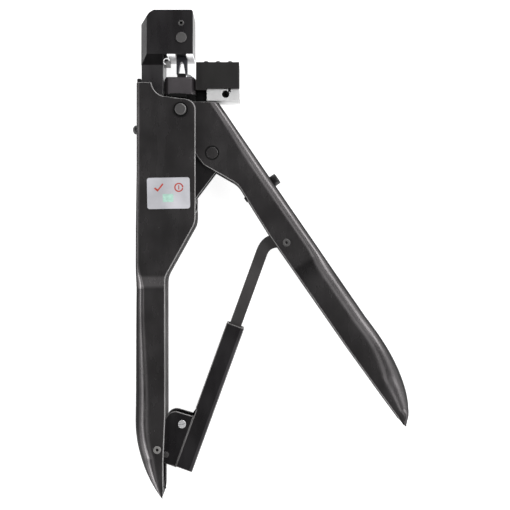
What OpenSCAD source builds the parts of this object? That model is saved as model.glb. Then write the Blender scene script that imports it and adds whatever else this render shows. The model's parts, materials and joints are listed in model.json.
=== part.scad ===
// Hand crimping tool, lying on its side on its rear cheek.
// X runs across the tool, Y up towards the crimping head, Z out of the resting plane.
// The origin is on the axis of the main pivot, in the resting plane.

/* [Handles] */
// Depth of the fixed handle's channel at the body
body_depth = 24; // [24:0.5:25]
// Depth of both grips
grip_depth = 22; // [21:0.5:22]
// Thickness of the pressed steel sheet
sheet = 2; // [1.8:0.1:2]
// Side gap between the fixed cheeks and the moving cheeks
cheek_gap = 0.3; // [0.2:0.05:0.35]
// Angle between the moving handle and the fixed handle when open
open_angle = 34.6; // [34:0.1:35]

/* [Pivots] */
// Radius of the main pivot pin and of the link pin
pivot_r = 2.9; // [2.6:0.05:3]
// Running clearance of a pin in its bore
running = 0.05; // [0.03:0.01:0.08]
// Radius of the draw pin
draw_pin_r = 2; // [1.8:0.1:2.1]
// Radius of the housing pin and the rod pins
small_pin_r = 1.9; // [1.7:0.05:2]

/* [Crimping head] */
// Depth of the head block
head_depth = 22; // [20:0.5:22]
// Travel of the head from open to closed
head_travel = 7.25; // [7:0.05:7.3]
// Width of the crimper
crimper_w = 5.5; // [5:0.1:5.6]

/* [Ratchet] */
// Tilt of the ratchet rod from the fixed handle
rod_tilt = 20; // [19:0.1:21]
// Width of the ratchet rod
rod_w = 6; // [5.5:0.1:6]
// Thickness of the ratchet rod
rod_t = 3; // [2.5:0.1:3]
// Length of the sheath
sheath_len = 77.3; // [77:0.1:78]

/* [Hidden] */
$fn = 48;
mid = body_depth / 2;
link_pivot = [15.6, -21.45];
draw_pivot = [3.7, -48.4];
rod_pivot = [52.95, -66.6];
housing_pivot = [-11.85, -170.5];
sheath_foot = [1.65, -180.3];
die_x = -0.1;
spine_x = -22.3;
cheek_top = 13.7;
spine_top = 16.2;
bend_r = 4;
fixed_joggle = [-82.5, -90];
moving_joggle = [-96, -104];
jaw_y = 28;
guide_y = -8.8;
guide_r = 2;
bolt_at = [0.25, 36.15];
bolt_r = 1.9;
dowel_at = [0.15, 43.5];
dowel_r = 1.45;
holder_x = -0.8;
holder_top = 17.2;
anvil_foot = 11.4;
locator_screw_x = [12.4, 18.45, 24.5];
locator_screw_r = 1.2;
block_top = 24.3;
bar_hole = [22.3, 8.45];
housing_wall = 1;
plate_in = 5;
plate_out = plate_in + housing_wall;
screw_at = [-8.8, 20.2];
rivet_at = [-11.2, 2.9];
rivet_r = 1.1;
sheath_end = -1;
window_top = 30;
pawl_screw_r = 1.2;
grip_low = mid - grip_depth / 2;
cheek_low = sheet + cheek_gap;
head_low = mid - head_depth / 2;
column_low = head_low + 1.5;
link_low = cheek_low + sheet + 1.1;
link_t = 3;
plate_t = 6;

// ---- helpers ----

// Points on an arc about c, from angle a to angle b
function arc(c, r, a, b, n = 8) =
    [for (i = [0:n]) let (t = a + (b - a) * i / n) c + r * [cos(t), sin(t)]];

// Points on a quadratic curve from p to r, pulled towards q
function curve(p, q, r, n = 10) =
    [for (i = [0:n]) let (t = i / n) (1 - t) * (1 - t) * p + 2 * t * (1 - t) * q + t * t * r];

function moved(pts, v) = [for (p = pts) p + v];

// A round rod along Z between two heights
module pin(p, r, low, high) {
    translate([p.x, p.y, low]) cylinder(r = r, h = high - low);
}

// An upright prism of a flat outline between two heights
module slab(low, high) {
    translate([0, 0, low]) linear_extrude(high - low) children();
}

// A block between two corners
module block(a, b) {
    translate(a) cube(b - a);
}

// Flat bar with two round ends of different size
module bar2d(p, q, rp, rq) {
    d = q - p;
    turn = atan2(d.y, d.x);
    side = acos((rp - rq) / norm(d));
    polygon(concat(
        arc(p, rp, turn + side, turn + 360 - side, 20),
        arc(q, rq, turn - side, turn + side, 16)));
}

// Side profile of a channel, wide over one length and narrow over the other, run across the handle
module profile_prism(top, joggle, end, low_a, low_b) {
    translate([-70, 0, 0]) rotate([90, 0, 90]) linear_extrude(140)
        polygon([[top, low_a], [top, 2 * mid - low_a],
            [joggle[0], 2 * mid - low_a], [joggle[1], 2 * mid - low_b],
            [end, 2 * mid - low_b], [end, low_b],
            [joggle[1], low_b], [joggle[0], low_a]]);
}

// Places children in the frame of the ratchet: X across the rod, Y up along it
module along_rod() {
    translate(sheath_foot) rotate(-rod_tilt) children();
}

function in_rod_frame(p) = let (v = p - sheath_foot)
    [v.x * cos(rod_tilt) - v.y * sin(rod_tilt), v.x * sin(rod_tilt) + v.y * cos(rod_tilt)];

// Low dome standing on Z = 0
module dome(r, h) {
    sphere_r = (r * r + h * h) / (2 * h);
    rotate_extrude() intersection() {
        translate([0, h - sphere_r]) circle(sphere_r);
        square([r, h]);
    }
}

// ---- fixed handle ----

// Outside edge, bowing out a little to the grip and sweeping in to the tip
fixed_sweep = concat([[spine_x, -30], [-22.6, -60], [-22.8, -120]],
    curve([-23.4, -157], [-24, -178], [-9.65, -194.8]));

// Free edge of the cheeks, from the tip up to the round notch below the head
fixed_free_edge = concat([[-8.9, -191], [-8.9, -177], [-7.9, -153]],
    curve([-8.13, -86.5], [-8.15, -83.5], [-6.9, -81.3], 5),
    curve([6, -58.5], [7.35, -56.1], [7.35, -53.5], 5),
    arc([2.35, 0.2], 5, 0, 83), [[-6.4, 6.4], [-6.4, cheek_top]]);

module fixed_handle() {
    color([0.17, 0.16, 0.16]) difference() {
        union() {
            intersection() {
                slab(0, body_depth) difference() {
                    polygon(concat([[spine_x, cheek_top]], fixed_sweep, fixed_free_edge));
                    translate([-6.4, 14.9]) circle(8.5);
                }
                profile_prism(20, fixed_joggle, -210, 0, grip_low);
            }
            // the spine stands a little above the cheeks
            block([spine_x, 0, bend_r], [spine_x + sheet, spine_top, body_depth - bend_r]);
        }
        intersection() {
            slab(-1, body_depth + 1) polygon(concat([[spine_x + sheet, 20]],
                moved(fixed_sweep, [sheet, 0.8]), [[30, -200], [30, 20]]));
            profile_prism(30, fixed_joggle, -210, sheet, grip_low + sheet);
        }
        pin([0, 0], pivot_r, -1, body_depth + 1);
        pin(housing_pivot, small_pin_r, -1, body_depth + 1);
        translate([spine_x - 2, guide_y, mid]) rotate([0, 90, 0]) cylinder(r = guide_r, h = 6);
    }
}

// ---- moving handle ----

shoulder = [19.3, 3.5];

// Outside edge of the grip, sweeping round to the tip
moving_sweep = curve([93.4, -104.2], [121.8, -140.5], [112.9, -158.6]);

module moving_outline() {
    polygon(concat([shoulder], moving_sweep,
        [[111.65, -157.9], [61.55, -85.3], [45.25, -63.35], [34.05, -45.5]],
        curve([31, -41.3], [28.8, -37.2], [26, -35.7], 4),
        [[11.25, -27.3], [8.55, -23.95]], arc([0, 0], 5.6, 205, 88), [[8, 4.2], [18.8, 4.2]]));
}

// Unit vectors along the moving handle and out of its spine
handle_down = [sin(open_angle), -cos(open_angle)];
handle_out = [cos(open_angle), sin(open_angle)];

module moving_handle() {
    color([0.17, 0.16, 0.16]) difference() {
        intersection() {
            slab(0, body_depth) moving_outline();
            rotate(open_angle) profile_prism(20, moving_joggle, -210, cheek_low, grip_low);
        }
        intersection() {
            slab(-1, body_depth + 1) polygon(concat(
                [shoulder - sheet * handle_out - 30 * handle_down],
                moved(moving_sweep, -sheet * handle_out + [0, 0.6]),
                [[100, -170], [-60, -60], [-60, 60]]));
            rotate(open_angle) profile_prism(40, moving_joggle, -210, cheek_low + sheet, grip_low + sheet);
        }
        pin([0, 0], pivot_r + running, -1, body_depth + 1);
        pin(link_pivot, pivot_r, -1, body_depth + 1);
        pin(rod_pivot, small_pin_r, -1, body_depth + 1);
        stop_screw_axis() cylinder(r = 2.5, h = 30);
    }
}

// ---- pivots and toggle link ----

module main_pivot_pin() {
    color([0.3, 0.29, 0.29]) union() {
        pin([0, 0], pivot_r, 0, body_depth + 1.6);
        translate([0, 0, body_depth + 1.6]) cylinder(r1 = pivot_r, r2 = pivot_r - 0.5, h = 0.6);
    }
}

module pivot_retaining_ring() {
    color([0.12, 0.12, 0.12]) difference() {
        pin([0, 0], 3.8, body_depth, body_depth + 0.9);
        pin([0, 0], pivot_r, body_depth - 1, body_depth + 2);
    }
}

module link_pin() {
    proud = 0.15;
    color([0.22, 0.21, 0.21]) pin(link_pivot, pivot_r, cheek_low - proud, body_depth - cheek_low + proud);
}

// Flat outline of a link plate: a wide round end on the handle and a small eye on the draw pin
module link_outline() {
    d = draw_pivot - link_pivot;
    handle_r = 6.9;
    eye_r = 3.4;
    left = atan2(d.y, d.x) - acos((handle_r - eye_r) / norm(d));
    polygon(concat(arc(link_pivot, handle_r, -36.8, left + 360, 20), arc(draw_pivot, eye_r, left, 0, 16),
        [[7, -44.3]]));
}

module link_plate(low) {
    slab(low, low + link_t) difference() {
        link_outline();
        translate(link_pivot) circle(pivot_r + running);
        translate(draw_pivot) circle(draw_pin_r);
    }
}

module front_link_plate() {
    color([0.3, 0.3, 0.31]) link_plate(body_depth - link_low - link_t);
}

module rear_link_plate() {
    color([0.3, 0.3, 0.31]) link_plate(link_low);
}

module link_spacer() {
    color([0.35, 0.35, 0.36]) slab(link_low + link_t, body_depth - link_low - link_t) difference() {
        translate(link_pivot) circle(4.4);
        translate(link_pivot) circle(pivot_r + running);
    }
}

module draw_pin() {
    color([0.4, 0.4, 0.4]) pin(draw_pivot, draw_pin_r, link_low, body_depth - link_low);
}

// ---- crimping head ----

block_left = -20.05;
column_left = -19.9;
column_right = -9;
slope_foot = 22.7;

module head_outline() {
    polygon(concat(
        [[block_left, slope_foot], [column_right, slope_foot], [column_right, jaw_y], [6.05, jaw_y]],
        arc([4.85, 49], 1.2, 0, 90, 4), [[-13.6, 50.2], [-16, 48.8], [block_left, 43]]));
}

// The head's side: full depth down to the jaw, then sloping in to the column
module head_side() {
    rotate([90, 0, 90]) linear_extrude(60) polygon([
        [60, head_low], [60, 2 * mid - head_low],
        [jaw_y, 2 * mid - head_low], [slope_foot, 2 * mid - column_low],
        [slope_foot, column_low], [jaw_y, head_low]]);
}

module draw_bar_outline() {
    difference() {
        union() {
            translate([column_left, -30]) square([column_right - column_left, 20]);
            bar2d([-14.2, -28], draw_pivot, 5, 4.2);
        }
        slot2d(draw_pivot + [0.08, 0], 1.3, draw_pin_r + 0.25);
    }
}

// Upright slot with round ends
module slot2d(p, length, r) {
    translate(p) circle(r);
    translate(p - [0, length]) circle(r);
    translate(p - [r, length]) square([2 * r, length]);
}

module head_frame() {
    slot_r = guide_r + 0.3;
    slot_end = guide_y + head_travel + 0.3;
    color([0.15, 0.14, 0.15]) difference() {
        union() {
            intersection() {
                slab(head_low, 2 * mid - head_low) head_outline();
                translate([-30, 0, 0]) head_side();
            }
            block([column_left, -22, column_low], [column_right, slope_foot + 0.1, 2 * mid - column_low]);
            slab(mid - plate_t / 2, mid + plate_t / 2) draw_bar_outline();
            // step in the inside corner, under the hooked spring
            slab(mid - 9, mid + 8.9) polygon([[column_right - 1, 24.6], [-6.6, 24.6], [-6.6, jaw_y - 1],
                [-7.1, jaw_y - 1], [-7.1, jaw_y + 1], [column_right - 1, jaw_y + 1]]);
        }
        // bevel along the left front edge of the block
        translate([block_left, 0, 2 * mid - head_low]) rotate([-90, 0, 0]) linear_extrude(60)
            polygon([[-1, -1], [2.9, -1], [2.9, 0], [0, 1.6], [-1, 1.6]]);
        // slot for the guide screw
        block([column_left - 0.4, guide_y, mid - slot_r], [column_left + 5, slot_end, mid + slot_r]);
        for (y = [guide_y, slot_end])
            translate([column_left - 0.4, y, mid]) rotate([0, 90, 0]) cylinder(r = slot_r, h = 5.4);
        // seat for the crimper, and the holes of its bolt and dowel
        crimper_blank(jaw_y - 1);
        pin(bolt_at, bolt_r, mid, body_depth);
        pin(dowel_at, dowel_r, mid, body_depth);
    }
}

// The flat bar the crimper is ground from
module crimper_blank(foot) {
    block([die_x - crimper_w / 2, foot, mid - 2], [die_x + crimper_w / 2, 40, mid + 3]);
}

module crimper() {
    color([0.42, 0.43, 0.46]) difference() {
        crimper_blank(19.3);
        slab(0, body_depth) polygon(concat(
            [[die_x - 1.6, 18], [die_x - 1.6, 20.6]], arc([die_x, 24.8], 0.75, 172, 8, 6),
            [[die_x + 1.6, 20.6], [die_x + 1.6, 18]]));
        pin(bolt_at, bolt_r, mid, body_depth);
    }
}

module crimper_bolt() {
    color([0.33, 0.33, 0.34]) union() {
        pin(bolt_at, bolt_r, mid, 2 * mid - head_low);
        pin(bolt_at, bolt_r + 0.7, 2 * mid - head_low, 2 * mid - head_low + 1);
    }
}

module head_dowel() {
    color([0.45, 0.44, 0.44]) difference() {
        pin(dowel_at, dowel_r, mid, 2 * mid - head_low + 0.2);
        pin(dowel_at, dowel_r / 2, mid + 8, body_depth + 1);
    }
}

module guide_plate() {
    color([0.85, 0.85, 0.86]) difference() {
        block([-7.05, jaw_y - 1, head_low], [6.05, jaw_y, 2 * mid - head_low]);
        crimper_blank(jaw_y - 2);
        block([die_x - crimper_w / 2, jaw_y - 2, mid], [die_x + crimper_w / 2, jaw_y + 1, body_depth]);
    }
}

module hook_spring() {
    loop_r = 1.5;
    loop_y = 24.6;
    color([0.7, 0.7, 0.7]) translate([-7.15, loop_y, 2 * mid - column_low - 0.25]) union() {
        rotate_extrude() translate([loop_r, 0]) circle(0.3);
        translate([-0.2, loop_r, 0]) rotate([-90, 0, 0]) cylinder(r = 0.25, h = jaw_y - loop_y - loop_r);
    }
}

// ---- fixed dies ----

module die_base() {
    low = cheek_low + sheet + 0.3;
    color([0.12, 0.12, 0.12]) difference() {
        union() {
            slab(low, 2 * mid - low) polygon([[-8.3, -6], [7.05, -6], [7.05, 8.2], [-8.3, 8.2]]);
            slab(0.6, body_depth - 0.6) polygon([[-5.6, 6.6], [2.6, 6.1], [2.6, 8.2], [-5.6, 8.2]]);
        }
        pin([0, 0], pivot_r, -1, body_depth + 1);
    }
}

module anvil_holder() {
    half = 7.9;
    cut = 2;
    bevel = 1.7;
    gap = 0.35;
    color([0.25, 0.24, 0.25]) difference() {
        translate([holder_x, holder_top - 9, mid]) rotate([-90, 0, 0]) linear_extrude(9)
            polygon([[-half, cut - half], [cut - half, -half], [half - cut, -half], [half, cut - half],
                [half, half - cut], [half - cut, half], [cut - half, half], [-half, half - cut]]);
        // bevels round the top
        for (side = [-1, 1]) translate([holder_x + side * half, holder_top, mid]) rotate([0, 0, 45])
            cube([bevel, bevel, 40], center = true);
        for (side = [-1, 1]) translate([holder_x, holder_top, mid + side * half]) rotate([45, 0, 0])
            cube([40, bevel, bevel], center = true);
        // pocket the crimper comes down into, and the seat of the guard
        block([die_x - crimper_w / 2 - gap, anvil_foot, mid - 2 - gap],
            [die_x + crimper_w / 2 + gap, 18, mid + 3 + gap]);
        block([-2.3, 14.2, mid + 3.3], [2.2, 18, mid + 5.4]);
    }
}

module anvil() {
    half = [[1.3, anvil_foot], [1.3, 13], [0.5, 17.8], [0.2, 17.5]];
    color([0.5, 0.5, 0.52]) slab(mid - 2, mid + 3) polygon(concat(
        [for (p = half) [die_x + p.x, p.y]], [for (i = [3:-1:0]) [die_x - half[i].x, half[i].y]]));
}

module anvil_guard() {
    color([0.1, 0.1, 0.1]) slab(mid + 3.4, mid + 5.4) polygon([[-2.3, 14.2], [2.2, 14.2], [2.2, 18.6],
        [1.3, 19.2], [-2.3, 19.2]]);
}

module stop_finger() {
    color([0.75, 0.75, 0.75]) slab(mid + 3.4, mid + 4.6) polygon([[2.5, 17.2], [5.6, 17.2], [5.2, 18],
        [3.6, 19], [2.9, 18.7]]);
}

module guide_screw() {
    head_r = guide_r + 0.3;
    rim = 1.9;
    color([0.25, 0.24, 0.24]) translate([spine_x, guide_y, mid]) rotate([0, -90, 0]) union() {
        translate([0, 0, -6.5]) cylinder(r = guide_r, h = 6.5);
        cylinder(r = head_r, h = rim);
        translate([0, 0, rim]) dome(head_r, 1.2);
    }
}

// ---- locator ----

module locator_bracket() {
    color([0.08, 0.08, 0.08]) slab(mid - 4, mid + 4)
        polygon([[7.05, -2], [12.6, -2], [12.6, 10.2], [7.3, 10.2], [7.3, 8.2], [7.05, 8.2]]);
}

module locator_block() {
    color([0.1, 0.1, 0.1]) difference() {
        slab(mid - 9, mid + 9) polygon([[7.45, block_top], [29.2, block_top], [29.2, 11.1], [12.6, 11.1],
            [12.6, 10.2], [7.3, 10.2], [7.3, 15.7], [7.45, 15.7]]);
        locator_screw_seats() cylinder(r = locator_screw_r, h = 8);
    }
}

// Places children at the three screws on top of the block, pointing up to the head
module locator_screw_seats() {
    for (x = locator_screw_x)
        translate([x, block_top - 6, mid + 4.5]) rotate([-90, 0, 0]) children();
}

module locator_screws() {
    head_r = locator_screw_r + 0.3;
    color([0.3, 0.3, 0.3]) locator_screw_seats() union() {
        cylinder(r = locator_screw_r, h = 6);
        translate([0, 0, 6]) cylinder(r = head_r, h = 0.6);
        translate([0, 0, 6.6]) dome(head_r, 0.8);
    }
}

module locator_bar() {
    color([0.8, 0.8, 0.8]) difference() {
        block([12.8, 5.1, mid - 7.5], [29.7, 11.1, mid + 7.5]);
        pin(bar_hole, 1.9, mid + 3, body_depth);
        pin(bar_hole, 1.2, mid - 3, body_depth);
        pin([24.45, 10.15], 0.65, mid + 5, body_depth);
    }
}

module locator_bar_screw() {
    color([0.12, 0.12, 0.12]) difference() {
        union() {
            pin(bar_hole, 1.2, mid - 3, mid + 3);
            pin(bar_hole, 1.8, mid + 3, mid + 5.5);
        }
        translate([bar_hole.x, bar_hole.y, mid + 4]) cylinder(r = 0.9, h = 2, $fn = 6);
    }
}

// ---- stop screw, return spring and rod pins ----

// Frame of the stop screw: origin on the outside of the spine, Z into the handle
module stop_screw_axis() {
    foot = (shoulder * handle_out) * handle_out + 55.2 * handle_down;
    translate([foot.x, foot.y, mid]) rotate([0, 0, open_angle]) rotate([0, -90, 0]) children();
}

module stop_screw() {
    color([0.16, 0.16, 0.16]) stop_screw_axis() difference() {
        union() {
            translate([0, 0, -3.2]) cylinder(r = 2.9, h = 3.2);
            cylinder(r = 2.2, h = 14.5);
            cylinder(r = 1.5, h = 16.8);
        }
        translate([0, 0, -4]) cylinder(r = 1.3, h = 2.4, $fn = 6);
    }
}

module stop_screw_nut() {
    color([0.3, 0.3, 0.3]) stop_screw_axis() translate([0, 0, sheet + 0.2]) difference() {
        cylinder(r = 4, h = 3, $fn = 6);
        translate([0, 0, -1]) cylinder(r = 2.2, h = 5);
    }
}

module return_spring() {
    wire = 0.6;
    color([0.5, 0.5, 0.5]) translate([link_pivot.x, link_pivot.y, mid]) union() {
        difference() {
            cylinder(r = 5.9, h = 5.2, center = true);
            cylinder(r = 4.7, h = 6, center = true);
        }
        rotate(open_angle) translate([5.3, 0, -2]) rotate([90, 0, 0]) cylinder(r = wire, h = 11);
    }
}

module rod_pins() {
    color([0.55, 0.54, 0.54]) for (front = [0, 1]) difference() {
        if (front == 1)
            pin(rod_pivot, small_pin_r, mid + rod_t / 2 + 0.5, body_depth - cheek_low + 0.8);
        else
            pin(rod_pivot, small_pin_r, 0, mid - rod_t / 2 - 0.5);
        pin(rod_pivot, 0.7, body_depth - cheek_low - 1, body_depth);
    }
}

// ---- ratchet ----

hub = in_rod_frame(housing_pivot);

module side_plate_outline() {
    polygon(concat([[-4.15, sheath_end], [-10.5, -1.6]], arc(hub, 4.6, 262, 180, 6),
        arc([-12.6, 20.3], 5, 170, 90, 6), [[-4.15, 25.8]]));
}

module ratchet_housing() {
    sheath_top = sheath_end + sheath_len;
    color([0.1, 0.1, 0.11]) along_rod() difference() {
        union() {
            block([-5.15, sheath_end, mid - plate_out - 1], [4.2, sheath_top, mid + plate_out + 1]);
            slab(mid - plate_out, mid - plate_in) side_plate_outline();
            slab(mid + plate_in, mid + plate_out) side_plate_outline();
        }
        block([-5.15 + housing_wall, sheath_end - 1, mid - plate_out],
            [4.2 - housing_wall, sheath_top + 1, mid + plate_out]);
        // the foot of the sheath is open on its left, between the side plates
        block([-6, sheath_end - 1, mid - plate_in], [-3, window_top, mid + plate_in]);
        block([-6, 25.8, 0], [-4.6, window_top, body_depth]);
        for (side = [mid - plate_out - 1, mid + plate_out])
            block([-6, sheath_end - 1, side], [-4.6, window_top, side + 1]);
        pin(hub, small_pin_r + running, 0, body_depth);
        pin(screw_at, pawl_screw_r, 0, body_depth);
        pin(rivet_at, rivet_r, 0, body_depth);
    }
}

module housing_pin() {
    color([0.6, 0.6, 0.6]) difference() {
        pin(housing_pivot, small_pin_r, 0, body_depth - 0.4);
        pin(housing_pivot, 0.8, body_depth - 4, body_depth);
    }
}

module housing_bush() {
    color([0.4, 0.4, 0.4]) slab(mid - plate_in, mid + plate_in) translate(housing_pivot) difference() {
        circle(3);
        circle(small_pin_r + running);
    }
}

module plate_rivet() {
    color([0.25, 0.25, 0.25]) along_rod() union() {
        pin(rivet_at, rivet_r, mid - plate_out - 0.6, mid + plate_out + 0.6);
        pin(rivet_at, rivet_r + 0.4, mid - plate_in + 0.2, mid + plate_in - 0.2);
    }
}

module rod_outline() {
    left = -0.6 - rod_w / 2;
    right = -0.6 + rod_w / 2;
    eye = in_rod_frame(rod_pivot);
    pitch = 2.5;
    first_tooth = 35.5;
    foot = 31;
    difference() {
        polygon(concat([[right, foot]], curve([right, 115.5], [right, 119.5], [7.2, 121]),
            arc(eye, 4, -110, 110, 14),
            curve([7.4, 127.9], [left, 126.5], [left, 116]),
            // saw teeth on the side of the pawl
            [for (i = [12:-1:0], y = first_tooth + i * pitch) each [[left, y + 2.1], [left + 1.1, y]]],
            [[left, foot + 2], [left + 1, foot]]));
        translate(eye) circle(2.1);
    }
}

module ratchet_rod() {
    color([0.13, 0.13, 0.14]) slab(mid - rod_t / 2, mid + rod_t / 2) along_rod() rod_outline();
}

module pawl() {
    color([0.35, 0.35, 0.35]) slab(mid - 2, mid + 2) along_rod() difference() {
        polygon(concat([[-4.1, 24.6], [-4.1, 22.9]],
            arc(screw_at, 3, 10, -50, 6), [[-8.2, 12.2], [-10.4, 12.2]],
            arc(screw_at, 3, 230, 120, 8), [[-7.2, 24.4]]));
        translate(screw_at) circle(pawl_screw_r + running);
    }
}

module pawl_screw() {
    color([0.75, 0.75, 0.75]) along_rod() translate([screw_at.x, screw_at.y, 0]) difference() {
        union() {
            translate([0, 0, mid - plate_out]) cylinder(r = pawl_screw_r, h = 2 * plate_out);
            translate([0, 0, mid + plate_out]) cylinder(r = 2, h = 0.9);
        }
        translate([0, 0, mid + plate_out + 0.9]) rotate(rod_tilt + 8) cube([5, 0.6, 0.9], center = true);
    }
}

module pawl_spring() {
    color([0.6, 0.6, 0.6]) along_rod() translate([screw_at.x, screw_at.y, mid + 3.3]) union() {
        difference() {
            cylinder(r = 2.3, h = 1.6, center = true);
            cylinder(r = 1.5, h = 2, center = true);
        }
        translate([-1.9, 0, 0]) rotate([90, 0, 0]) cylinder(r = 0.3, h = 7);
    }
}

// ---- label ----

module inspection_label() {
    size = [21.5, 15.75];
    corner = 1.2;
    color([0.68, 0.68, 0.7]) translate([-6.1, -41.9, body_depth]) rotate(1) linear_extrude(0.15)
        polygon(concat(arc(size / 2 - [corner, corner], corner, 0, 90, 4),
            arc([corner - size.x / 2, size.y / 2 - corner], corner, 90, 180, 4),
            arc([corner, corner] - size / 2, corner, 180, 270, 4),
            arc([size.x / 2 - corner, corner - size.y / 2], corner, 270, 360, 4)));
}

fixed_handle();
moving_handle();
main_pivot_pin();
pivot_retaining_ring();
link_pin();
front_link_plate();
rear_link_plate();
link_spacer();
draw_pin();
head_frame();
crimper();
crimper_bolt();
head_dowel();
guide_plate();
hook_spring();
die_base();
anvil_holder();
anvil();
anvil_guard();
stop_finger();
guide_screw();
locator_bracket();
locator_block();
locator_screws();
locator_bar();
locator_bar_screw();
stop_screw();
stop_screw_nut();
return_spring();
rod_pins();
ratchet_housing();
housing_pin();
housing_bush();
plate_rivet();
ratchet_rod();
pawl();
pawl_screw();
pawl_spring();
inspection_label();
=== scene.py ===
"""Looks of the crimping tool, built round its packed design model."""

import json
import math

import bmesh
import bpy
from mathutils import Matrix, Vector


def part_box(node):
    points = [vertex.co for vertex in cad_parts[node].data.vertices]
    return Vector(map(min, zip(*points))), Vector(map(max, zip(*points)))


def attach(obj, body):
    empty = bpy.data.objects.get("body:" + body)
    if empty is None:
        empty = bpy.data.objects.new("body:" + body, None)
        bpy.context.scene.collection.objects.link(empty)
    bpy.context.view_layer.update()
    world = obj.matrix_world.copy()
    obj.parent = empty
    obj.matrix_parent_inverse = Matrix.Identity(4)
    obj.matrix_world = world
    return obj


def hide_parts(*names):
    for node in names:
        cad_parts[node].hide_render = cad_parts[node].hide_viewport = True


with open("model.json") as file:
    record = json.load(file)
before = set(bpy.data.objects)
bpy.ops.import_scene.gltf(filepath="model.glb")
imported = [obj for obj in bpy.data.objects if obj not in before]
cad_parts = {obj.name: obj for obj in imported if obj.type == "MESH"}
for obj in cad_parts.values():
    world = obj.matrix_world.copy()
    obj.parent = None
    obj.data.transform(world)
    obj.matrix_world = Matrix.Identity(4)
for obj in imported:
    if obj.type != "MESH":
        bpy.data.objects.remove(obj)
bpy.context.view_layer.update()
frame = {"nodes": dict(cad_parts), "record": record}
nodes = frame["nodes"]

# Lengths are written in mm, in the design's own frame, and turned into metres by MM.
MM = 0.001
SHEET = 2.0                      # pressed sheet
BODY_HALF = 12.0                 # half depth of the fixed handle's body
GRIP_HALF = 11.0                 # half depth of both grips
MOVING_HALF = 9.7                # half depth of the moving handle inside the fixed one
MIDDLE = 12.0                    # height of the middle plane
SPINE = -22.3                    # outside of the fixed handle's spine
OPEN_ANGLE = math.radians(34.6)  # between the fixed handle and the moving one at rest
DOWN_MOVING = Vector((math.sin(OPEN_ANGLE), -math.cos(OPEN_ANGLE)))   # down the moving handle
LINK_PIVOT = Vector((15.6, -21.45))   # where the toggle link turns on the moving handle
LINK_PIN_RADIUS = 2.9
ROD_TILT = math.radians(20)      # the ratchet rod against the y axis
SHEATH_FOOT = Vector((1.65, -180.3))
PAWL_SCREW = Vector((-8.8, 20.2))     # across and along the rod, from the sheath's foot
RING_STEP = 1.5                  # between the sections of a pressed channel
ARC_STEPS = 12                   # over a channel's bend
COIL_STEPS = 20                  # over one turn of a spring
TENT_LOW = 3.2                   # radiance of the light tent low down
TENT_HIGH = 0.11                 # and overhead
LEFT_SHARE = 0.35                # of that radiance on the far left
RIGHT_SHARE = 1.2                # and on the right
TOOL_MIDDLE = Vector((0.037, -0.073, 0.012))   # metres; the lights are aimed at it
VIEW_CENTRE = (0.03715, -0.0728)               # metres; the camera stands over it

# How a noise is scaled on each axis. Its lines run square to the axis along which it is squeezed.
EVEN = (1, 1, 1)
STREAKS_ALONG_Y = (1, 0.35, 1)
LINES_ALONG_Y = (6, 1, 1)
LINES_ALONG_X = (1, 6, 1)
FINE_LINES_ALONG_X = (1, 9, 1)


# ---------------------------------------------------------------- small helpers

def curve_points(a, pull, b, count):
    """Points on a quadratic curve from a to b, pulled towards pull."""
    points = []
    for i in range(count + 1):
        t = i / count
        point = [(1 - t) ** 2 * p + 2 * t * (1 - t) * q + t * t * r for p, q, r in zip(a, pull, b)]
        points.append(tuple(point))
    return points


def arc_points(centre, radius, start, end, count):
    """Points on an arc, angles in degrees."""
    points = []
    for i in range(count + 1):
        angle = math.radians(start + (end - start) * i / count)
        points.append((centre[0] + radius * math.cos(angle), centre[1] + radius * math.sin(angle)))
    return points


def smooth_step(x, low, high):
    """0 below low, 1 above high, and a soft ramp between."""
    t = min(1.0, max(0.0, (x - low) / (high - low)))
    return t * t * (3 - 2 * t)


def across(points, y):
    """x of a polyline that runs down in y, at height y."""
    for (x0, y0), (x1, y1) in zip(points, points[1:]):
        if y1 <= y <= y0:
            return x0 if y0 == y1 else x0 + (x1 - x0) * (y0 - y) / (y0 - y1)
    return points[0][0] if y > points[0][1] else points[-1][0]


def along_rod(x, y):
    """A place given across and along the ratchet rod."""
    return (SHEATH_FOOT.x + x * math.cos(ROD_TILT) + y * math.sin(ROD_TILT),
            SHEATH_FOOT.y - x * math.sin(ROD_TILT) + y * math.cos(ROD_TILT))


def add_object(name, mesh, material, body):
    """Links a finished mesh, gives it its material and lets it ride on its body."""
    piece = bpy.data.objects.new(name, mesh)
    bpy.context.scene.collection.objects.link(piece)
    mesh.materials.append(material)
    mesh.polygons.foreach_set("use_smooth", [True] * len(mesh.polygons))
    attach(piece, body)
    return piece


def add_bevel(piece, width, sharp_from):
    """Rounds the edges that are sharper than an angle in degrees."""
    bevel = piece.modifiers.new("round_edges", "BEVEL")
    bevel.width = width * MM
    bevel.segments = 3
    bevel.limit_method = "ANGLE"
    bevel.angle_limit = math.radians(sharp_from)
    bevel.use_clamp_overlap = False
    return bevel


def soften(piece, width, finish=None):
    """Rounds a design node's edges by modifiers, and may give the rounding a lighter material of its own as
    a painted highlight.
    """
    weld = piece.modifiers.new("weld", "WELD")
    weld.merge_threshold = 0.002 * MM
    flatten = piece.modifiers.new("flatten", "DECIMATE")
    flatten.decimate_type = "DISSOLVE"
    flatten.angle_limit = math.radians(0.4)
    bevel = add_bevel(piece, width, 38)
    bevel.miter_outer = "MITER_ARC"
    bevel.harden_normals = True
    if finish:
        piece.data.materials.append(finish)
        bevel.material = len(piece.data.materials) - 1


def round_free_edges(piece, width):
    """Rounds a pressed piece's edges; the last of its materials goes on the rounding, on the handles the
    cut-edge material with its painted highlight.
    """
    bevel = add_bevel(piece, width, 50)
    bevel.material = len(piece.data.materials) - 1
    shade = piece.modifiers.new("shade", "WEIGHTED_NORMAL")
    shade.keep_sharp = False
    shade.weight = 60


# ---------------------------------------------------------------- shader helpers

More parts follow.
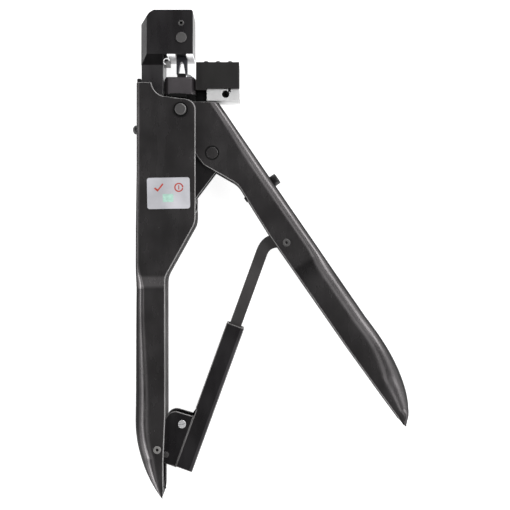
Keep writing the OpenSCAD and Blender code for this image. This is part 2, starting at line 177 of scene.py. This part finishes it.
def new_material(name):
    """A new material, its node tree and its shader."""
    material = bpy.data.materials.new(name)
    material.use_nodes = True
    tree = material.node_tree
    return material, tree, tree.nodes["Principled BSDF"]


def feed(tree, value, socket):
    """Links a socket to another node's output, or sets it to a plain value."""
    if isinstance(value, bpy.types.NodeSocket):
        tree.links.new(value, socket)
    else:
        socket.default_value = value


def shade_of(colour, scale=1.0):
    """The colour scaled, with full cover."""
    return (*[c * scale for c in colour], 1)


def multiplied(tree, first, second):
    """The product of two outputs or plain numbers."""
    product = tree.nodes.new("ShaderNodeMath")
    product.operation = "MULTIPLY"
    feed(tree, first, product.inputs[0])
    feed(tree, second, product.inputs[1])
    return product.outputs["Value"]


def dot_product(tree, first, second):
    """The dot product of two vector outputs or plain vectors."""
    product = tree.nodes.new("ShaderNodeVectorMath")
    product.operation = "DOT_PRODUCT"
    feed(tree, first, product.inputs[0])
    feed(tree, second, product.inputs[1])
    return product.outputs["Value"]


def mixed(tree, first, second, share):
    """A colour between first and second, by an output that gives second's share."""
    mix = tree.nodes.new("ShaderNodeMix")
    mix.data_type = "RGBA"
    feed(tree, first, mix.inputs["A"])
    feed(tree, second, mix.inputs["B"])
    feed(tree, share, mix.inputs["Factor"])
    return mix.outputs["Result"]


def noise(tree, scale, detail, lines=EVEN):
    """Noise in the piece's own coordinates, which are metres."""
    place = tree.nodes.new("ShaderNodeTexCoord")
    mapping = tree.nodes.new("ShaderNodeMapping")
    mapping.inputs["Scale"].default_value = lines
    texture = tree.nodes.new("ShaderNodeTexNoise")
    texture.inputs["Scale"].default_value = scale
    texture.inputs["Detail"].default_value = detail
    tree.links.new(place.outputs["Object"], mapping.inputs["Vector"])
    tree.links.new(mapping.outputs["Vector"], texture.inputs["Vector"])
    return texture.outputs["Fac"]


def spread(tree, source, low, high, floor=0.3, top=0.7):
    """Maps a value between floor and top softly to low and high. The defaults suit a noise."""
    ramp = tree.nodes.new("ShaderNodeMapRange")
    ramp.interpolation_type = "SMOOTHSTEP"
    ramp.inputs["From Min"].default_value = floor
    ramp.inputs["From Max"].default_value = top
    ramp.inputs["To Min"].default_value = low
    ramp.inputs["To Max"].default_value = high
    tree.links.new(source, ramp.inputs["Value"])
    return ramp.outputs["Result"]


def edge_mask(tree, wear):
    """A mask that rises to wear on sharp edges."""
    rounded = tree.nodes.new("ShaderNodeBevel")
    rounded.samples = 4
    rounded.inputs["Radius"].default_value = 0.3 * MM
    surface = tree.nodes.new("ShaderNodeNewGeometry")
    alike = dot_product(tree, rounded.outputs["Normal"], surface.outputs["Normal"])
    return spread(tree, alike, wear, 0, floor=0.86, top=0.995)


def add_grain(tree, shader, grain, depth):
    """Fine bumps from a noise."""
    bump = tree.nodes.new("ShaderNodeBump")
    bump.inputs["Strength"].default_value = 0.25
    bump.inputs["Distance"].default_value = depth * MM
    tree.links.new(grain, bump.inputs["Height"])
    tree.links.new(bump.outputs["Normal"], shader.inputs["Normal"])


def tone_along(material, direction, start, full, tone, source="Normal"):
    """Scales colour and shine, softly up to tone, as the normal reaches from start to full along direction.

    With "Object" as the source it goes by the place in the piece, in metres.
    """
    tree = material.node_tree
    shader = tree.nodes["Principled BSDF"]
    place = tree.nodes.new("ShaderNodeTexCoord")
    reach = dot_product(tree, place.outputs[source], direction)
    scale = spread(tree, reach, 1, tone, floor=start, top=full)
    toned = tree.nodes.new("ShaderNodeVectorMath")
    toned.operation = "SCALE"
    tree.links.new(shader.inputs["Base Color"].links[0].from_socket, toned.inputs[0])
    tree.links.new(scale, toned.inputs["Scale"])
    tree.links.new(toned.outputs["Vector"], shader.inputs["Base Color"])
    shine = shader.inputs["Specular IOR Level"]
    shine_before = shine.links[0].from_socket if shine.links else shine.default_value
    tree.links.new(multiplied(tree, scale, shine_before), shine)


# ---------------------------------------------------------------- finishes

def metal(name, colour, worn, rough, metallic=0.0, rim=1.0, grain=2200, depth=0.02, wear=0.5, lines=EVEN):
    """Metal with cloudy colour, uneven gloss, fine grain and lighter worn edges.

    rim tints the grazing shine, depth is the grain's, and lines gives the way its ground lines run.
    """
    material, tree, shader = new_material(name)
    shader.inputs["Metallic"].default_value = metallic
    shader.inputs["Specular Tint"].default_value = shade_of((rim, rim, rim))
    clouds = noise(tree, scale=45, detail=5)
    smudges = noise(tree, scale=160, detail=4, lines=STREAKS_ALONG_Y)
    cloudy = mixed(tree, shade_of(colour, 0.8), shade_of(colour, 1.2), spread(tree, clouds, 0, 1))
    rubbed = multiplied(tree, edge_mask(tree, wear), spread(tree, smudges, 0.2, 1))
    tree.links.new(mixed(tree, cloudy, shade_of(worn), rubbed), shader.inputs["Base Color"])
    tree.links.new(spread(tree, smudges, rough - 0.05, rough + 0.07), shader.inputs["Roughness"])
    add_grain(tree, shader, noise(tree, scale=grain, detail=2, lines=lines), depth)
    return material


def print_ink(name, colour):
    """Printed ink with slightly uneven cover."""
    material, tree, shader = new_material(name)
    shader.inputs["Roughness"].default_value = 0.5
    cover = spread(tree, noise(tree, scale=600, detail=2), 0, 1)
    uneven = mixed(tree, shade_of(colour, 0.9), shade_of(colour, 1.12), cover)
    tree.links.new(uneven, shader.inputs["Base Color"])
    return material


def pressed_steel(name):
    """The grey-black finish of the pressed parts."""
    grey_black = (0.056, 0.053, 0.054)
    return metal(name, grey_black, (0.12, 0.115, 0.115), 0.24, metallic=0.68, rim=0.25, depth=0.006)


def handle_steel(name, step_lean, step_painted_light, rim_from, rim_to, rim_painted_shade):
    """Pressed steel with painted light on the step in the cheeks, and painted shade where it doesn't look
    up.

    step_lean is the way the step leans; the step's factor paints a highlight above one and shade below one.
    The painted shade runs from an upward share rim_from of the normal down to rim_to, which paints a dark
    reflection line round the bend to the spine.
    """
    downwards = (0, 0, -1)
    material = pressed_steel(name)
    # painted light on the step, by how its normal leans
    tone_along(material, step_lean, start=0.03, full=0.17, tone=step_painted_light)
    # painted shade: a dark reflection line where the normal turns away from straight up
    tone_along(material, downwards, start=-rim_from, full=-rim_to, tone=rim_painted_shade)
    return material


def oxide(name, colour):
    """Blackened steel."""
    return metal(name, colour, (0.12, 0.115, 0.11), 0.30, metallic=0.2, depth=0.015)


def head_finish():
    """Blackened steel, with painted shade on the slope at the block's foot, and lighter on the column below
    the block.
    """
    block_foot = 23.4
    column_top = 22.4
    to_anvil = (0, -1, 0)
    material = oxide("head_oxide", (0.010, 0.009, 0.010))
    # painted shade: the slope at the block's foot, facing the anvil, is darkened as if in the block's shadow
    tone_along(material, to_anvil, start=0.1, full=0.3, tone=0.4)
    tone_along(material, to_anvil, start=-block_foot * MM, full=-column_top * MM, tone=1.8, source="Object")
    return material


def sheath_finish():
    """Blackened steel with a painted highlight: a lighter strip down the sheath's right side, where its bend
    catches light.
    """
    strip_from = 2.3
    across_sheath = Vector((math.cos(ROD_TILT), -math.sin(ROD_TILT), 0))
    highlight_from = (SHEATH_FOOT.dot(across_sheath.xy) + strip_from) * MM
    material = oxide("sheath_oxide", (0.011, 0.010, 0.011))
    highlight_full = highlight_from + 0.5 * MM
    # painted highlight along the sheath's right side
    tone_along(material, across_sheath, start=highlight_from, full=highlight_full, tone=2.6, source="Object")
    return material


def cut_edge_finish():
    """The cut edges of the sheet, lighter as a painted highlight, with painted shade where they face left.
    """
    grey = (0.20, 0.195, 0.195)
    material = metal("cut_edge", grey, (0.26, 0.25, 0.25), 0.6, metallic=0.1, rim=0.2, depth=0.01)
    # painted shade on the cut edges that face left
    tone_along(material, (-1, 0, 0), start=0.42, full=0.68, tone=0.28)
    return material


black_steel = pressed_steel("black_steel")
# painted shade on the moving handle's step, and a painted dark reflection line round its bend
moving_steel = handle_steel("moving_steel", (*-DOWN_MOVING, 0), step_painted_light=0.5, rim_from=0.62, rim_to=0.42,
                            rim_painted_shade=0.34)
# painted highlight on the fixed handle's step, and a painted dark reflection line round its bend
fixed_steel = handle_steel("fixed_steel", (0, -1, 0), step_painted_light=2.6, rim_from=0.80, rim_to=0.64,
                           rim_painted_shade=0.33)
rod_steel = metal("rod_steel", (0.045, 0.042, 0.042), (0.10, 0.095, 0.095), 0.38)
deep_black = metal("deep_black", (0.004, 0.004, 0.004), (0.02, 0.02, 0.02), 0.5, metallic=0.8)
black_oxide = oxide("black_oxide", (0.013, 0.012, 0.013))
head_oxide = head_finish()
sheath_oxide = sheath_finish()
# painted highlight: a lighter oxide for the sheath's rounded edges
edge_highlight_oxide = metal("edge_highlight_oxide", (0.12, 0.115, 0.115), (0.2, 0.19, 0.19), 0.45, metallic=0.2, depth=0.01)
cut_edge = cut_edge_finish()
dark_block = metal("dark_block", (0.008, 0.0072, 0.0070), (0.06, 0.055, 0.05), 0.42, metallic=0.3,
                   lines=LINES_ALONG_Y)
worn_steel = metal("worn_steel", (0.22, 0.215, 0.21), (0.45, 0.44, 0.43), 0.34, metallic=0.4)
white_steel = metal("white_steel", (0.90, 0.90, 0.91), (0.95, 0.95, 0.95), 0.35, grain=900, depth=0.004)
holder_steel = metal("holder_steel", (0.050, 0.044, 0.048), (0.16, 0.15, 0.15), 0.42, metallic=0.2,
                     lines=LINES_ALONG_X)
tool_steel = metal("tool_steel", (0.055, 0.055, 0.065), (0.2, 0.2, 0.22), 0.34, metallic=0.4,
                   lines=LINES_ALONG_Y)
pin_steel = metal("pin_steel", (0.066, 0.064, 0.064), (0.35, 0.34, 0.33), 0.38, metallic=0.3)
bright_steel = metal("bright_steel", (0.62, 0.62, 0.63), (0.8, 0.8, 0.8), 0.26, metallic=0.45, wear=0.3)
aluminium = metal("aluminium", (0.78, 0.78, 0.78), (0.9, 0.9, 0.9), 0.4, metallic=0.55, wear=0.3,
                  lines=FINE_LINES_ALONG_X)
spring_steel = metal("spring_steel", (0.32, 0.32, 0.33), (0.6, 0.6, 0.6), 0.3, metallic=1.0, wear=0.2)
label_film = metal("label_film", (0.47, 0.47, 0.50), (0.6, 0.6, 0.6), 0.45, metallic=0.25, wear=0.2,
                   grain=3500)
red_ink = print_ink("red_ink", (0.36, 0.035, 0.022))
green_ink = print_ink("green_ink", (0.34, 0.53, 0.45))

SLOT_MATERIALS = {
    "black_steel": black_steel, "black_oxide": black_oxide, "holder_steel": holder_steel,
    "tool_steel": tool_steel, "pin_steel": pin_steel, "bright_steel": bright_steel,
    "aluminium": aluminium, "spring_steel": spring_steel, "label": label_film,
}


# ---------------------------------------------------------------- pressed channels

def ring_heights(outer, free, top, foot, dense):
    """Heights of a channel's rings, from the top down: the outlines' corners, an even step, finer zones."""
    heights = {top, foot}
    heights.update(y for _, y in outer + free if foot < y < top)
    heights.update(top - i * RING_STEP for i in range(1, int((top - foot) / RING_STEP) + 1))
    for low, high, fine in dense:
        heights.update(low + i * fine for i in range(int((high - low) / fine) + 1))
    kept = []
    for y in sorted(heights, reverse=True):
        if not kept or kept[-1] - y > 0.02:
            kept.append(y)
    return kept


def lean_at(outer, y, top, foot):
    """How much wider a section is along x than square to the spine, where the spine slopes."""
    reach = 0.6
    above = min(top, y + reach)
    below = max(foot, y - reach)
    slope = (across(outer, above) - across(outer, below)) / (above - below)
    return math.sqrt(1 + slope * slope)


def half_section(x_spine, side, lean, width, bend, half_at):
    """Outer and inner points (x, z) of the front half, from the middle of the spine to the free edge.

    width is measured square to the spine, bend is the outer radius wanted, half_at(x) gives the half depth.
    Where the channel gets narrow, as at a grip's tip, its bend gets tighter and its sheet thinner.
    """
    radius = min(bend, 0.7 * width)
    sheet = min(SHEET, 0.62 * radius, 0.45 * width)
    inner_radius = radius - sheet
    flat = width - radius

    def on_spine(depth, share):
        x = x_spine + side * depth * lean
        return x, (half_at(x) - radius) * share

    def on_cheek(depth, rise):
        x = x_spine + side * depth * lean
        return x, half_at(x) + rise

    outside = [on_spine(0.0, quarter / 4) for quarter in range(4)]
    inside = [on_spine(sheet, quarter / 4) for quarter in range(4)]
    for i in range(ARC_STEPS + 1):
        angle = math.pi / 2 * i / ARC_STEPS
        cosine = math.cos(angle)
        sine = math.sin(angle)
        outside.append(on_cheek(radius * (1 - cosine), radius * sine - radius))
        inside.append(on_cheek(radius - inner_radius * cosine, inner_radius * sine - radius))
    for share in (0.25, 0.5, 0.75, 1 - min(0.2, SHEET / flat), 1.0):
        outside.append(on_cheek(radius + flat * share, 0.0))
        inside.append(on_cheek(radius + flat * share, -sheet))
    return outside, inside


def ring_faces(rings):
    """Faces between neighbouring rings, and strips that close the first and the last ring."""
    faces = []
    size = len(rings[0])
    for above, below in zip(rings, rings[1:]):
        for i in range(size):
            j = (i + 1) % size
            faces.append((above[i], above[j], below[j], below[i]))
    for ring, flip in ((rings[0], True), (rings[-1], False)):
        for i in range(size // 2 - 1):
            quad = (ring[i], ring[i + 1], ring[size - 2 - i], ring[size - 1 - i])
            faces.append(tuple(reversed(quad)) if flip else quad)
    return faces


def channel_mesh(name, outer, free, side, half_depth, bend, dense):
    """A pressed U channel. outer is the spine's edge, free the cheeks' open edge, both running down in y.

    side is +1 where the cheeks lie on the +x side of the spine. half_depth(x, y) and bend(y) give the
    channel's half depth and its outer bend radius. Each ring of the mesh is the channel's section at one
    height, and dense lists zones of closer rings as (low, high, step). The free edges take the second
    material.
    """
    top = min(outer[0][1], free[0][1])
    foot = max(outer[-1][1], free[-1][1])
    vertices = []
    rings = []
    for y in ring_heights(outer, free, top, foot, dense):
        x_spine = across(outer, y)
        lean = lean_at(outer, y, top, foot)
        width = max(0.5, abs(across(free, y) - x_spine) / lean)
        outside, inside = half_section(x_spine, side, lean, width, bend(y), lambda x: half_depth(x, y))
        loop_out = [(x, -z) for x, z in reversed(outside[1:])] + outside
        loop_in = [(x, -z) for x, z in reversed(inside[1:])] + inside
        loop = loop_out + list(reversed(loop_in))
        rings.append(range(len(vertices), len(vertices) + len(loop)))
        vertices += [(x * MM, y * MM, (MIDDLE + z) * MM) for x, z in loop]
    mesh = bpy.data.meshes.new(name)
    mesh.from_pydata(vertices, [], ring_faces(rings))
    work = bmesh.new()
    work.from_mesh(mesh)
    bmesh.ops.recalc_face_normals(work, faces=work.faces)
    work.to_mesh(mesh)
    work.free()
    size = len(rings[0])
    half = size // 2
    free_edges = (half - 1, half, size - 2, size - 1)
    for i in range(len(rings) - 1):
        for j in free_edges:
            # the free edges take the cut-edge material, which paints highlight on them
            mesh.polygons[i * size + j].material_index = 1
    return mesh


def growing_bend(base, growth):
    """A bend radius by height: base plus gains, each setting in softly between two distances below y = 0."""
    def bend(y):
        return base + sum(gain * smooth_step(-y, start, end) for gain, start, end in growth)
    return bend


def build_channel(name, mesh, material, node):
    """Adds a pressed handle in place of its design node, which has the name of its body."""
    piece = add_object(name, mesh, material, node)
    # the cut-edge material paints highlight on the rounded free edges
    mesh.materials.append(cut_edge)
    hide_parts(node)
    round_free_edges(piece, width=0.45)


def build_fixed_handle():
    """The fixed handle: a deep, wide body, a slanted shoulder and a narrower grip."""
    outer = [(SPINE, 13.7), (SPINE, -30), (-22.7, -60), (-22.8, -90), (-23.15, -120)]
    outer += curve_points((-23.6, -155), (-24.2, -178), (-9.65, -194.8), 24)
    free = arc_points((-6.4, 14.9), 8.5, 188.2, 270, 16) + arc_points((2.35, 0.2), 5, 83, 0, 12)
    free += curve_points((7.35, -53.5), (7.35, -56.3), (6.25, -58.5), 6)
    free += curve_points((-6.45, -81.3), (-8.0, -84.0), (-8.0, -86.5), 6)
    free += [(-7.9, -153), (-8.9, -177), (-8.9, -191), (-9.45, -194.8)]
    dense = ((5.0, 13.7, 0.3), (-1.0, 5.4, 0.3), (-92.0, -80.0, 0.6), (-194.7, -186.0, 0.5))

    def half_depth(x, y):
        return BODY_HALF - (BODY_HALF - GRIP_HALF) * smooth_step(-y, 82.5, 90)

    bend = growing_bend(2.0, ((3.0, 76, 92), (3.0, 96, 150)))
    mesh = channel_mesh("pressed_fixed_handle", outer, free, 1, half_depth, bend, dense)
    build_channel("pressed_fixed_handle", mesh, fixed_steel, "fixed_handle")


def build_spine_tab():
    """The spine stands a little above the cheeks at the top."""
    foot = 12.0
    top = 16.2
    cheek_gap = 4.0
    size = Vector((SHEET, top - foot, 2 * (BODY_HALF - cheek_gap)))
    centre = Vector((SPINE + SHEET / 2, (top + foot) / 2, MIDDLE))
    place = Matrix.Translation(centre * MM) @ Matrix.Diagonal((*(size * MM), 1))
    mesh = bpy.data.meshes.new("spine_tab")
    work = bmesh.new()
    bmesh.ops.create_cube(work, size=1, matrix=place)
    bmesh.ops.subdivide_edges(work, edges=work.edges[:], cuts=2, use_grid_fill=True)
    work.to_mesh(mesh)
    work.free()
    piece = add_object("spine_tab", mesh, black_steel, "fixed_handle")
    round_free_edges(piece, width=0.4)


def build_moving_handle():
    """The moving handle: shallow between the fixed cheeks, stepping out to the grip's depth lower down."""
    step_from = 98
    step_length = 14
    outer = [(18.8, 4.2), (19.3, 3.5)] + curve_points((93.4, -104.2), (121.6, -140.5), (112.9, -158.6), 24)
    free = arc_points((0, 0), 5.6, 131.4, 205, 12) + [(8.55, -23.95), (11.25, -27.3)]
    free += curve_points((26, -35.7), (28.8, -37.2), (31, -41.3), 6) + [(33.6, -45.5)]
    free += [(44.7, -63.35), (84.3, -120.4), (102.3, -145.4), (111.5, -157.9), (112.7, -158.6)]
    dense = ((-6.0, 4.2, 0.5), (-90.0, -66.0, 0.7), (-158.5, -148.0, 0.5))

    def half_depth(x, y):
        share = min(1.0, max(0.0, (DOWN_MOVING.dot(Vector((x, y))) - step_from) / step_length))
        return MOVING_HALF + (GRIP_HALF - MOVING_HALF) * share * (2 - share)

    bend = growing_bend(4.4, ((1.4, 0, 30), (1.8, 68, 80), (6.0, 112, 150), (-11.0, 143, 155)))
    mesh = channel_mesh("pressed_moving_handle", outer, free, -1, half_depth, bend, dense)
    build_channel("pressed_moving_handle", mesh, moving_steel, "moving_handle")


# ---------------------------------------------------------------- springs

def wire(name, points, radius, material, body):
    """A round wire along the points."""
    data = bpy.data.curves.new(name, "CURVE")
    data.dimensions = "3D"
    data.bevel_depth = radius * MM
    data.bevel_resolution = 4
    data.use_fill_caps = True
    spline = data.splines.new("NURBS")
    spline.points.add(len(points) - 1)
    for point, place in zip(spline.points, points):
        point.co = (*[c * MM for c in place], 1)
    spline.use_endpoint_u = True
    spline.order_u = 3
    data.materials.append(material)
    piece = bpy.data.objects.new(name, data)
    bpy.context.scene.collection.objects.link(piece)
    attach(piece, body)
    return piece


def helix(centre, radius, low, high, turns, start):
    """Points of a coil about an upright axis, from low to high. start is in radians."""
    count = turns * COIL_STEPS
    points = []
    for i in range(count + 1):
        angle = start + 2 * math.pi * turns * i / count
        points.append((centre[0] + radius * math.cos(angle), centre[1] + radius * math.sin(angle),
                       low + (high - low) * i / count))
    return points


def build_return_spring():
    """Four turns round the link pin, and a leg that lies down the moving handle."""
    low = MIDDLE - 2.0
    high = MIDDLE + 2.0
    wire_radius = 0.6
    coil_radius = 5.3
    coil = helix(LINK_PIVOT, coil_radius, low, high, 4, OPEN_ANGLE)
    first = Vector(coil[0][:2])
    leg = [(*(first + DOWN_MOVING * reach), low) for reach in (11, 8, 4, 1.5)]
    path = leg + coil
    piece = wire("coiled_return_spring", path, wire_radius, spring_steel, "moving_handle")
    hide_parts("return_spring")


def build_pawl_spring():
    """Two turns under the pawl's screw, and a leg along the rod."""
    low = MIDDLE + 2.8
    high = low + 1.0
    wire_radius = 0.3
    coil_radius = 1.9
    coil = helix(along_rod(*PAWL_SCREW), coil_radius, low, high, 2, math.pi - ROD_TILT)
    leg = [(*along_rod(PAWL_SCREW.x - coil_radius, PAWL_SCREW.y - reach), low) for reach in (7, 4, 2)]
    path = leg + coil
    piece = wire("coiled_pawl_spring", path, wire_radius, spring_steel, "ratchet_housing")
    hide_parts("pawl_spring")


def build_hook_spring():
    """A thin wire with an open loop at its foot and a short tail up to the head."""
    low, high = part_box("hook_spring")
    wire_radius = 0.26
    loop_radius = 1.5
    centre_x = (low.x + high.x) / 2 / MM - 0.2
    centre_y = low.y / MM + 1.7
    height = (low.z + high.z) / 2 / MM
    tail_x = centre_x + 0.8
    loop = arc_points((centre_x, centre_y), loop_radius, 260, 20, 16)
    tail = [(centre_x + 1.2, centre_y + 1.3), (tail_x, centre_y + 2.2), (tail_x, high.y / MM - 0.1)]
    points = [(*point, height) for point in loop + tail]
    piece = wire("wire_hook_spring", points, wire_radius, white_steel, "crimping_head")
    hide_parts("hook_spring")


# ---------------------------------------------------------------- label and thin plates

def rectangle(left, foot, right, top):
    """Corners of an upright rectangle."""
    return [(left, foot), (right, foot), (right, top), (left, top)]


def plate_piece(name, outlines, height, thick, material, body):
    """Flat plates with the given outlines and their foot at one height, as one piece."""
    mesh = bpy.data.meshes.new(name)
    work = bmesh.new()
    for outline in outlines:
        face = work.faces.new([work.verts.new((x * MM, y * MM, height * MM)) for x, y in outline])
        made = bmesh.ops.extrude_face_region(work, geom=[face])
        moved = [v for v in made["geom"] if isinstance(v, bmesh.types.BMVert)]
        bmesh.ops.translate(work, verts=moved, vec=(0, 0, thick * MM))
    bmesh.ops.recalc_face_normals(work, faces=work.faces)
    work.to_mesh(mesh)
    work.free()
    piece = add_object(name, mesh, material, body)
    mesh.polygons.foreach_set("use_smooth", [False] * len(mesh.polygons))
    return piece


def rounded_rectangle(half_width, half_height, corner):
    """Outline of a rectangle with rounded corners, about its own middle."""
    outline = []
    for sx, sy, start in ((1, 1, 0), (-1, 1, 90), (-1, -1, 180), (1, -1, 270)):
        centre = (sx * (half_width - corner), sy * (half_height - corner))
        outline += arc_points(centre, corner, start, start + 90, 6)
    return outline


def build_label():
    """A metal film with a red tick, a red ring with a bar, and a plain green square. No lettering."""
    film_thick = 0.13
    ink_thick = 0.012
    turn = math.radians(1)
    low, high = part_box("inspection_label")
    centre = Vector(((low.x + high.x) / 2 / MM, (low.y + high.y) / 2 / MM))
    foot = low.z / MM

    def on_label(outline):
        """An outline about the label's middle, turned and moved to its place."""
        return [(centre.x + x * math.cos(turn) - y * math.sin(turn),
                 centre.y + x * math.sin(turn) + y * math.cos(turn)) for x, y in outline]

    sheet = on_label(rounded_rectangle(half_width=10.7, half_height=7.8, corner=1.2))
    film = plate_piece("label_film", [sheet], foot, film_thick, label_film, "fixed_handle")
    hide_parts("inspection_label")
    tick = [(-7.2, 2.4), (-5.6, 0.9), (-5.3, 0.9), (-2.4, 4.5), (-3.0, 5.0), (-5.4, 2.0), (-6.7, 3.0)]
    ring = arc_points((5.2, 2.8), 2.3, 0, 350, 30) + arc_points((5.2, 2.8), 1.65, 350, 0, 30)
    marks = [on_label(outline) for outline in (tick, ring, rectangle(4.95, 1.75, 5.45, 3.85))]
    square = on_label(rectangle(-2.9, -4.4, 2.4, -0.4))
    top = foot + film_thick
    plate_piece("label_marks", marks, top, ink_thick, red_ink, "fixed_handle")
    plate_piece("label_square", [square], top, ink_thick, green_ink, "fixed_handle")


def build_link_pin_groove():
    """The dark gap round the link pin's flush end, as a thin black disc on the cheek: painted shade in the
    gap.
    """
    gap = 0.75
    thick = 0.02
    cheek = MIDDLE + MOVING_HALF
    disc = arc_points(LINK_PIVOT, LINK_PIN_RADIUS + gap, 0, 360, 48)[:-1]
    plate_piece("link_pin_groove", [disc], cheek, thick, deep_black, "moving_handle")


# ---------------------------------------------------------------- carried-over design nodes

EDGE_WIDTHS = {
    "head_frame": 0.14, "head_dowel": 0.12, "crimper": 0.15, "guide_plate": 0.15, "guide_screw": 0.1,
    "anvil_holder": 0.25, "anvil": 0.1, "anvil_guard": 0.15, "stop_finger": 0.12, "stop_screw": 0.3,
    "locator_block": 0.14, "locator_bar": 0.25, "locator_screws": 0.1, "pivot_retaining_ring": 0.2,
    "main_pivot_pin": 0.2, "front_link_plate": 0.3, "rear_link_plate": 0.3, "ratchet_housing": 0.45,
    "ratchet_rod": 0.35, "rod_pins": 0.2, "housing_pin": 0.15, "pawl_screw": 0.12, "plate_rivet": 0.15,
}
PLAIN_EDGE = 0.2
SPECIAL_FINISH = {
    "head_frame": head_oxide, "ratchet_housing": sheath_oxide, "ratchet_rod": rod_steel,
    # the locator bracket's deep black is painted shade, for the shadowed recess it sits in
    "pivot_retaining_ring": deep_black, "die_base": deep_black, "locator_bracket": deep_black,
    "locator_bar_screw": deep_black, "link_pin": black_steel, "housing_pin": worn_steel,
    "guide_plate": white_steel, "locator_block": dark_block,
}
# rounded edges that get a lighter material as a painted highlight
EDGE_HIGHLIGHT = {"ratchet_housing": edge_highlight_oxide}


def dress_design_nodes():
    """Gives each design node that still shows its finish and its rounded edges."""
    slots = {s["node"]: s["material_slot"] for s in frame["record"]["subparts"]}
    for name, piece in nodes.items():
        if piece.hide_render:
            continue
        material = SPECIAL_FINISH.get(name, SLOT_MATERIALS[slots[name]])
        if piece.material_slots:
            for place in piece.material_slots:
                place.material = material
        else:
            piece.data.materials.append(material)
        soften(piece, EDGE_WIDTHS.get(name, PLAIN_EDGE), EDGE_HIGHLIGHT.get(name))


# ---------------------------------------------------------------- stage

def build_floor():
    """A wide pale floor just under the tool, with a little light of its own."""
    reach = 3.0
    mesh = bpy.data.meshes.new("floor")
    mesh.from_pydata([(x, y, 0) for x, y in rectangle(-reach, -reach, reach, reach)], [], [(0, 1, 2, 3)])
    floor = bpy.data.objects.new("floor", mesh)
    floor.location.z = -0.05 * MM
    bpy.context.scene.collection.objects.link(floor)
    material, tree, shader = new_material("pale_floor")
    shader.inputs["Roughness"].default_value = 0.9
    shader.inputs["Base Color"].default_value = shade_of((0.50, 0.50, 0.50))
    shader.inputs["Emission Color"].default_value = shade_of((1, 1, 1))
    shader.inputs["Emission Strength"].default_value = 0.88
    mesh.materials.append(material)


def build_world():
    """A light tent: bright low down all round, brighter on the right, and dark overhead."""
    world = bpy.data.worlds.new("studio")
    bpy.context.scene.world = world
    world.use_nodes = True
    tree = world.node_tree
    background = tree.nodes["Background"]
    place = tree.nodes.new("ShaderNodeTexCoord")
    parts = tree.nodes.new("ShaderNodeSeparateXYZ")
    tree.links.new(place.outputs["Generated"], parts.inputs["Vector"])
    by_height = spread(tree, parts.outputs["Z"], TENT_LOW, TENT_HIGH, floor=0.26, top=0.40)
    by_side = spread(tree, parts.outputs["X"], LEFT_SHARE, RIGHT_SHARE, floor=-0.8, top=0.6)
    tree.links.new(multiplied(tree, by_height, by_side), background.inputs["Strength"])
    background.inputs["Color"].default_value = shade_of((1, 1, 1))


def softbox(name, azimuth, elevation, distance, length, height, radiance):
    """A rectangular light at a bearing from the tool, level along its length.

    Angles are in degrees and sizes in metres.
    """
    bearing = math.radians(azimuth)
    rise = math.radians(elevation)
    away = Vector((math.cos(bearing) * math.cos(rise), math.sin(bearing) * math.cos(rise), math.sin(rise)))
    level = Vector((-math.sin(bearing), math.cos(bearing), 0))
    turn = Matrix((level, away.cross(level), away)).transposed().to_4x4()
    data = bpy.data.lights.new(name, "AREA")
    data.shape = "RECTANGLE"
    data.size = length
    data.size_y = height
    data.energy = radiance * math.pi * length * height
    lamp = bpy.data.objects.new(name, data)
    lamp.matrix_world = Matrix.Translation(TOOL_MIDDLE + away * distance) @ turn
    bpy.context.scene.collection.objects.link(lamp)


def build_lights():
    """Five soft boxes that draw the light bands along the bends."""
    softbox("right_strip", azimuth=50, elevation=12, distance=0.9, length=1.3, height=0.26, radiance=8.0)
    softbox("right_fill", azimuth=44, elevation=36, distance=0.85, length=0.9, height=0.24, radiance=2.2)
    softbox("upper_right", azimuth=32, elevation=59, distance=0.8, length=0.9, height=0.28, radiance=3.2)
    softbox("left_strip", azimuth=200, elevation=25, distance=0.9, length=2.2, height=0.22, radiance=6.4)
    softbox("upper_left", azimuth=180, elevation=58, distance=0.8, length=0.9, height=0.24, radiance=1.6)


def build_camera():
    """The camera looks straight down. view_width is what it sees at the fixed handle's upper face."""
    view_distance = 0.500
    view_width = 0.255
    upper_face = (MIDDLE + BODY_HALF) * MM
    scene = bpy.context.scene
    scene.view_settings.view_transform = "Standard"
    data = bpy.data.cameras.new("camera")
    data.sensor_width = 36
    data.lens = data.sensor_width * view_distance / view_width
    camera = bpy.data.objects.new("camera", data)
    camera.location = (*VIEW_CENTRE, upper_face + view_distance)
    scene.collection.objects.link(camera)
    scene.camera = camera


build_fixed_handle()
build_spine_tab()
build_moving_handle()
build_return_spring()
build_pawl_spring()
build_hook_spring()
build_label()
dress_design_nodes()
build_link_pin_groove()
build_floor()
build_world()
build_lights()
build_camera()
